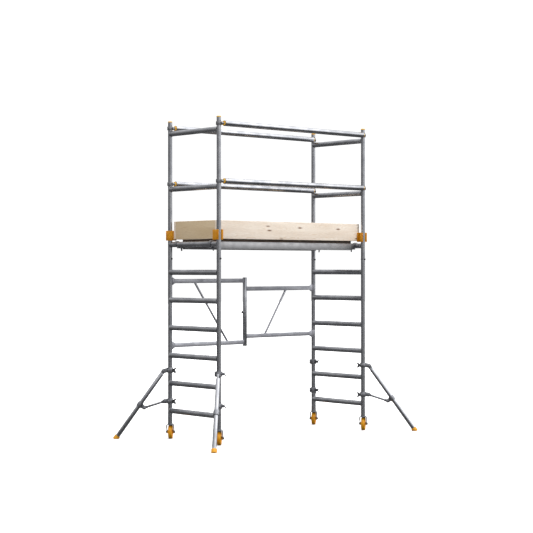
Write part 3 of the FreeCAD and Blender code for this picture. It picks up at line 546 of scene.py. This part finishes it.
def up_the_frame(tree, given, piece):
    """Repeats a piece up the middle of the frame, once for each rung."""
    start = add(tree, "ShaderNodeCombineXYZ", {"X": given["Frame X"], "Z": given["First rung"]})
    step = add(tree, "ShaderNodeCombineXYZ", {"Z": given["Pitch"]})
    points = add(tree, "GeometryNodeMeshLine",
                 {"Count": given["Count"], "Start Location": start.outputs[0], "Offset": step.outputs[0]})
    return add(tree, "GeometryNodeInstanceOnPoints",
               {"Points": points.outputs[0], "Instance": piece}).outputs[0]


LADDER_INPUTS = {"Frame X": "Float", "First rung": "Float", "Pitch": "Float", "Count": "Int",
                 "Half width": "Float", "Bite": "Float", "Rung radius": "Float", "Finish": "Material"}


def rung_tree():
    """One fluted rung, repeated up the frame."""
    tree, given = new_tree("Ladder rungs", {**LADDER_INPUTS, "Flutes": "Int", "Flute depth": "Float"})
    reach = maths(tree, "SUBTRACT", given["Half width"], given["Bite"])
    start = add(tree, "ShaderNodeCombineXYZ", {"Y": maths(tree, "MULTIPLY", reach, -1.0)})
    end = add(tree, "ShaderNodeCombineXYZ", {"Y": reach})
    line = add(tree, "GeometryNodeCurvePrimitiveLine", {"Start": start.outputs[0], "End": end.outputs[0]})
    sides = maths(tree, "MULTIPLY", given["Flutes"], SIDES_PER_FLUTE)
    circle = add(tree, "GeometryNodeCurvePrimitiveCircle",
                 {"Resolution": sides, "Radius": given["Rung radius"]})
    place = add(tree, "GeometryNodeInputPosition").outputs[0]
    axes = add(tree, "ShaderNodeSeparateXYZ", {0: place})
    angle = maths(tree, "ARCTAN2", axes.outputs["Y"], axes.outputs["X"])
    wave = maths(tree, "COSINE", maths(tree, "MULTIPLY", angle, given["Flutes"]))
    depth = maths(tree, "MULTIPLY", maths(tree, "SUBTRACT", wave, 1.0), given["Flute depth"])
    outward = add(tree, "ShaderNodeVectorMath", {0: place}, operation="NORMALIZE").outputs[0]
    push = add(tree, "ShaderNodeVectorMath", {0: outward, "Scale": depth}, operation="SCALE").outputs[0]
    fluted = add(tree, "GeometryNodeSetPosition", {"Geometry": circle.outputs[0], "Offset": push})
    rung = add(tree, "GeometryNodeCurveToMesh",
               {"Curve": line.outputs[0], "Profile Curve": fluted.outputs[0], "Fill Caps": True})
    return end_tree(tree, up_the_frame(tree, given, rung.outputs[0]), given["Finish"])


def weld_tree():
    """The weld bead at both ends of one rung, repeated up the frame."""
    sockets = {**LADDER_INPUTS, "Post radius": "Float", "Bead radius": "Float", "Steps": "Int"}
    tree, given = new_tree("Rung welds", sockets)
    ring_points = maths(tree, "MULTIPLY", given["Steps"], POINTS_PER_STEP)
    circle = add(tree, "GeometryNodeCurvePrimitiveCircle",
                 {"Resolution": ring_points, "Radius": given["Rung radius"]})
    place = add(tree, "GeometryNodeInputPosition")
    axes = add(tree, "ShaderNodeSeparateXYZ", {0: place.outputs[0]})
    square = maths(tree, "POWER", axes.outputs["X"], 2.0)
    left = maths(tree, "SUBTRACT", maths(tree, "POWER", given["Post radius"], 2.0), square)
    surface = maths(tree, "SQRT", maths(tree, "MAXIMUM", left, 0.0))
    seat = maths(tree, "MAXIMUM", surface, given["Bite"])
    out = maths(tree, "SUBTRACT", given["Half width"], seat)
    saddle = add(tree, "ShaderNodeCombineXYZ", {"X": axes.outputs["X"], "Y": out, "Z": axes.outputs["Y"]})
    path = add(tree, "GeometryNodeSetPosition",
               {"Geometry": circle.outputs[0], "Position": saddle.outputs[0]})
    count = add(tree, "GeometryNodeInputIndex")
    ripple = maths(tree, "COSINE", maths(tree, "MULTIPLY", count.outputs[0], 2 * math.pi / POINTS_PER_STEP))
    size = spread(tree, ripple, (-1.0, 1.0), RIPPLE)
    rippled = add(tree, "GeometryNodeSetCurveRadius", {"Curve": path.outputs[0], "Radius": size})
    section = add(tree, "GeometryNodeCurvePrimitiveCircle",
                  {"Resolution": BEAD_SIDES, "Radius": given["Bead radius"]})
    bead = add(tree, "GeometryNodeCurveToMesh",
               {"Curve": rippled.outputs[0], "Profile Curve": section.outputs[0]})
    turned = add(tree, "GeometryNodeTransform",
                 {"Geometry": bead.outputs[0], "Rotation": (0.0, 0.0, math.pi)})
    pair = add(tree, "GeometryNodeJoinGeometry")
    tree.links.new(bead.outputs[0], pair.inputs[0])
    tree.links.new(turned.outputs[0], pair.inputs[0])
    return end_tree(tree, up_the_frame(tree, given, pair.outputs[0]), given["Finish"])


RUNGS = rung_tree()
WELDS = weld_tree()
print("trees:", [tree.name for tree in (TUBES, RUNGS, WELDS)])

# %% [markdown]
# ## The four end frames
# Each frame is three pieces: two posts, the fluted rungs and the ring of weld round every rung end.
# The upper posts have a hole near the top for the next frame's lock pin, cut with a boolean.

# %% Build the end frames
TOP_HOLE_DROP = 32 * MM
TOP_HOLE_RADIUS = 4.5 * MM
UPPER_RUNGS = 3
POST_SIDES = 64
DRILL_SIDES = 24


def drilled(piece, spots, radius, reach):
    """Cuts holes along Y through a piece at the given spots."""
    lines = [(spot - Vector((0, reach, 0)), spot + Vector((0, reach, 0))) for spot in spots]
    drill = tubes(piece.name + "_drill", lines, radius, POST_ALUMINIUM, DRILL_SIDES)
    cut = piece.modifiers.new("Holes", "BOOLEAN")
    cut.operation = "DIFFERENCE"
    cut.object = drill
    baked(piece)
    bpy.data.objects.remove(drill)
    smooth_by_angle(piece.data)
    return piece


def frame_pieces(node, x, bottom, top, first, pitch, count):
    """Posts, rungs and welds of one frame."""
    lines = [(Vector((x, y, bottom)), Vector((x, y, top))) for y in (-HALF_WIDTH, HALF_WIDTH)]
    posts = tubes(node + "_posts", lines, POST_RADIUS, POST_ALUMINIUM, POST_SIDES)
    if top > FRAME_JOINT + MM:
        spots = [Vector((x, y, top - TOP_HOLE_DROP)) for y in (-HALF_WIDTH, HALF_WIDTH)]
        drilled(posts, spots, TOP_HOLE_RADIUS, 2 * POST_RADIUS)
    ladder = {"Frame X": x, "First rung": first, "Pitch": pitch, "Count": count, "Half width": HALF_WIDTH,
              "Bite": RUNG_BITE, "Rung radius": RUNG_RADIUS}
    rungs = grown(node + "_rungs", RUNGS, {**ladder, "Flutes": RUNG_FLUTES, "Flute depth": FLUTE_DEPTH,
                                           "Finish": RUNG_ALUMINIUM})
    smooth_by_angle(rungs.data, 60.0)
    welds = grown(node + "_welds", WELDS, {**ladder, "Post radius": POST_RADIUS, "Bead radius": BEAD_RADIUS,
                                           "Steps": BEAD_STEPS, "Finish": WELD})
    smooth_by_angle(welds.data, 80.0)
    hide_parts(node)
    for piece in (posts, rungs, welds):
        settle(piece, node)
    report((posts, rungs, welds))


for side, sign in SIDES.items():
    frame_pieces(side + "_lower_frame", sign * HALF_BAY, POST_FOOT, FRAME_JOINT,
                 FIRST_RUNG, RUNG_PITCH, LOWER_RUNGS)
    frame_pieces(side + "_upper_frame", sign * HALF_BAY, FRAME_JOINT, POST_TOP,
                 PLATFORM_RUNG, 2 * RUNG_PITCH, UPPER_RUNGS)

# %% [markdown]
# ## Parts that keep their CAD form
# The rest of the tower is right as the CAD has it. What changes is the edge: castings are rounded by
# one to two millimetres, extrusions by about half a millimetre.

# %% Round the edges and dress every other node
ROUNDED = {
    "frame_spigots": (POST_ALUMINIUM, 0.4),
    "joint_lock_pins": (DARK_ZINC, 0.8),
    "post_caps": (CAP_PLASTIC, 0.6),
    "guardrail_tubes": (RAIL_ALUMINIUM, 0.4),
    "guardrail_claws": (CASTING, 1.2),
    "rail_triggers_left": (CAP_PLASTIC, 0.8),
    "rail_triggers_right": (CAP_PLASTIC, 0.8),
    "platform_frame": (BEAM_ALUMINIUM, 0.8),
    "platform_hooks": (CASTING, 1.5),
    "wind_locks_left": (ZINC, 0.8),
    "wind_locks_right": (ZINC, 0.8),
    "deck": (DECK_PLY, 0.8),
    "hatch": (DECK_PLY, 0.8),
    "toe_board_clips": (CLIP_PLASTIC, 0.8),
    "gate_wide_leaf": (GATE_ALUMINIUM, 0.6),
    "gate_narrow_leaf": (GATE_ALUMINIUM, 0.6),
    "gate_centre_post": (POST_ALUMINIUM, 0.5),
    "gate_lock_pin": (DARK_ZINC, 1.5),
    "castor_stems": (ZINC, 0.6),
}
EACH_CORNER = {
    "outrigger_couplers": (ZINC, 1.2),
    "outrigger_wing_nuts": (DARK_ZINC, 1.2),
    "outrigger_tube": (POST_ALUMINIUM, 0.5),
    "outrigger_foot": (FOOT_RUBBER, 1.5),
    "outrigger_collar": (ZINC, 1.2),
    "outrigger_strut": (ZINC, 0.8),
    "castor_fork": (ZINC, 1.0),
    "castor_wheel": (WHEEL_PU, 1.2),
    "castor_brake": (ZINC, 0.6),
}
for part, (finish, radius) in EACH_CORNER.items():
    ROUNDED.update({f"{part}_{corner}": (finish, radius) for corner in CORNERS})
for node, (finish, radius) in ROUNDED.items():
    finished(node, finish, radius)
print(len(ROUNDED), "nodes finished")


# %% [markdown]
# ## Toe boards
# Two long boards and two end boards, cut from the same planed timber. They are separate pieces because
# the grain runs along each one.

# %% Build the boards
BOARD_EDGE = 2.5


def board(name, low, high, finish):
    """Planed board with eased edges."""
    mesh = bpy.data.meshes.new(name)
    edit = bmesh.new()
    bmesh.ops.create_cube(edit, size=1.0)
    size = high - low
    bmesh.ops.transform(edit, verts=edit.verts,
                        matrix=Matrix.Translation((low + high) / 2) @ Matrix.Diagonal((*size, 1.0)))
    edit.to_mesh(mesh)
    edit.free()
    mesh.materials.append(finish)
    piece = link(bpy.data.objects.new(name, mesh))
    bevel = piece.modifiers.new("Eased", "BEVEL")
    bevel.width = BOARD_EDGE * MM
    bevel.segments = 3
    baked(piece)
    smooth_by_angle(piece.data)
    return settle(piece, "toe_boards")


BOARD_LOW, BOARD_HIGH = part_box("toe_boards")
BOARD_THICK = 25 * MM
boards = []
for name, sign in (("toe_board_front", -1), ("toe_board_back", 1)):
    faces = sorted((sign * (BOARD_HIGH.y - BOARD_THICK), sign * BOARD_HIGH.y))
    boards.append(board(name, Vector((BOARD_LOW.x, faces[0], BOARD_LOW.z)),
                        Vector((BOARD_HIGH.x, faces[1], BOARD_HIGH.z)), SPRUCE_LONG))
# The end boards use the spruce with painted shade in its tones.
for name, sign in (("toe_board_left", -1), ("toe_board_right", 1)):
    faces = sorted((sign * (BOARD_HIGH.x - BOARD_THICK), sign * BOARD_HIGH.x))
    boards.append(board(name, Vector((faces[0], BOARD_LOW.y + BOARD_THICK, BOARD_LOW.z)),
                        Vector((faces[1], BOARD_HIGH.y - BOARD_THICK, BOARD_HIGH.z)), SPRUCE_END_PAINTED_SHADE))
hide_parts("toe_boards")
report(boards)

# %% [markdown]
# ## Floor, light and camera
# The tower stands on a plain white floor. Timber and plastic are lit by soft area lights. Tube is a
# mirror across its length, so what it looks like depends on what is round it: the surroundings are
# brightest high on the right, mid grey behind, darker on the left and nearly black below the horizon,
# which gives each rung its dark underside. The area lights and the floor aren't seen in the metal, and
# the floor throws no light back, so that wheels and feet are darker below.

# %% Floor
FLOOR_REACH = 40.0
FLOOR_DROP = 0.5 * MM
GLOW_REACH = (1.5, 4.0)
GLOW_RISE = (0.2, 1.0)


def floor_finish():
    """White paint that glows a little more away from the tower, so that the light never seems to end."""
    material, tree = new_material("Plain_white_studio_floor")
    place = add(tree, "ShaderNodeTexCoord")
    far = add(tree, "ShaderNodeVectorMath", {0: place.outputs["Object"]}, operation="LENGTH")
    glow = spread(tree, far.outputs["Value"], GLOW_REACH, GLOW_RISE)
    finish_material(tree, {"Base Color": linear("F4F4F4"), "Roughness": 0.9, "Specular IOR Level": 0.0,
                           "Emission Color": (1.0, 1.0, 1.0, 1.0), "Emission Strength": glow})
    return material


floor_mesh = bpy.data.meshes.new("floor")
floor_mesh.from_pydata([(-FLOOR_REACH, -FLOOR_REACH, 0), (FLOOR_REACH, -FLOOR_REACH, 0),
                        (FLOOR_REACH, FLOOR_REACH, 0), (-FLOOR_REACH, FLOOR_REACH, 0)], [], [(0, 1, 2, 3)])
floor_mesh.materials.append(floor_finish())
floor = link(bpy.data.objects.new("floor", floor_mesh))
floor.location.z = -FLOOR_DROP
floor.visible_glossy = False
floor.visible_diffuse = False


# %% World and lights
BRIGHT_SIDE = (0.52, -0.475, 0.71)
GLOW = [(0.0, 0.08), (0.15, 0.11), (0.28, 0.125), (0.5, 0.2),
        (0.72, 0.375), (0.85, 0.45), (0.93, 0.6), (1.0, 0.85)]
GLOW_STRENGTH = 2.2
SKY_LIFT = 0.17
BELOW_HORIZON = 0.05
HORIZON_EDGE = (-0.04, 0.06)
WHITE_SEEN = 1.1


def studio_world():
    """White to the eye; for light, a glow towards the bright side and dark below the horizon."""
    world = bpy.data.worlds.new("Studio")
    bpy.context.scene.world = world
    world.use_nodes = True
    tree = world.node_tree
    tree.nodes.clear()
    way = add(tree, "ShaderNodeTexCoord").outputs["Generated"]
    facing = add(tree, "ShaderNodeVectorMath", {0: way, 1: BRIGHT_SIDE}, operation="DOT_PRODUCT")
    share = spread(tree, facing.outputs["Value"], (-1.0, 1.0), (0.0, 1.0))
    glow = ramp(tree, share, [(place, grey(value)) for place, value in GLOW])
    height = add(tree, "ShaderNodeSeparateXYZ", {0: way}).outputs["Z"]
    sky = maths(tree, "ADD", glow, maths(tree, "MULTIPLY", height, SKY_LIFT))
    horizon = spread(tree, height, HORIZON_EDGE, (0.0, 1.0))
    light = add(tree, "ShaderNodeMix", {0: horizon, 2: BELOW_HORIZON, 3: sky}, data_type="FLOAT")
    seen = add(tree, "ShaderNodeLightPath").outputs["Is Camera Ray"]
    lit = add(tree, "ShaderNodeBackground", {"Color": light.outputs[0], "Strength": GLOW_STRENGTH})
    white = add(tree, "ShaderNodeBackground", {"Color": grey(1.0), "Strength": WHITE_SEEN})
    mixed = add(tree, "ShaderNodeMixShader", {0: seen, 1: lit.outputs[0], 2: white.outputs[0]})
    add(tree, "ShaderNodeOutputWorld", {"Surface": mixed.outputs[0]})


def softbox(name, place, target, size, power):
    """Large area light aimed at a point."""
    data = bpy.data.lights.new(name, "AREA")
    data.shape = "RECTANGLE"
    data.size, data.size_y = size
    data.energy = power
    lamp = link(bpy.data.objects.new(name, data))
    lamp.location = place
    lamp.rotation_euler = (Vector(target) - Vector(place)).to_track_quat("-Z", "Y").to_euler()
    lamp.visible_glossy = False
    return lamp


studio_world()
TOWER_MIDDLE = (0.0, 0.0, 1.5)
softbox("Key", (3.5, -8.5, 5.0), TOWER_MIDDLE, (4.0, 4.0), 460)
softbox("Overhead", (0.0, 0.0, 6.5), TOWER_MIDDLE, (6.0, 4.0), 150)
softbox("Left_fill", (-8.0, -2.0, 2.5), TOWER_MIDDLE, (3.0, 3.0), 190)

# %% Camera
FOCAL_LENGTH = 99.72
EYE = Vector((-9.224, -10.1375, 1.55))
HEADING = 42.20
TILT = 90.045

camera_data = bpy.data.cameras.new("Camera")
camera_data.lens = FOCAL_LENGTH
camera_data.sensor_width = 36.0
camera_data.clip_end = 200.0
camera = link(bpy.data.objects.new("Camera", camera_data))
camera.location = EYE
camera.rotation_euler = (math.radians(TILT), 0.0, math.radians(-HEADING))
bpy.context.scene.camera = camera
bpy.context.scene.view_settings.view_transform = "Standard"
print("camera", [round(v, 3) for v in EYE], "lens", FOCAL_LENGTH)

# %% [markdown]
# ## The end
# The dressed model has to stay inside the CAD model's box, so both boxes are written down.

# %% A last import
import json
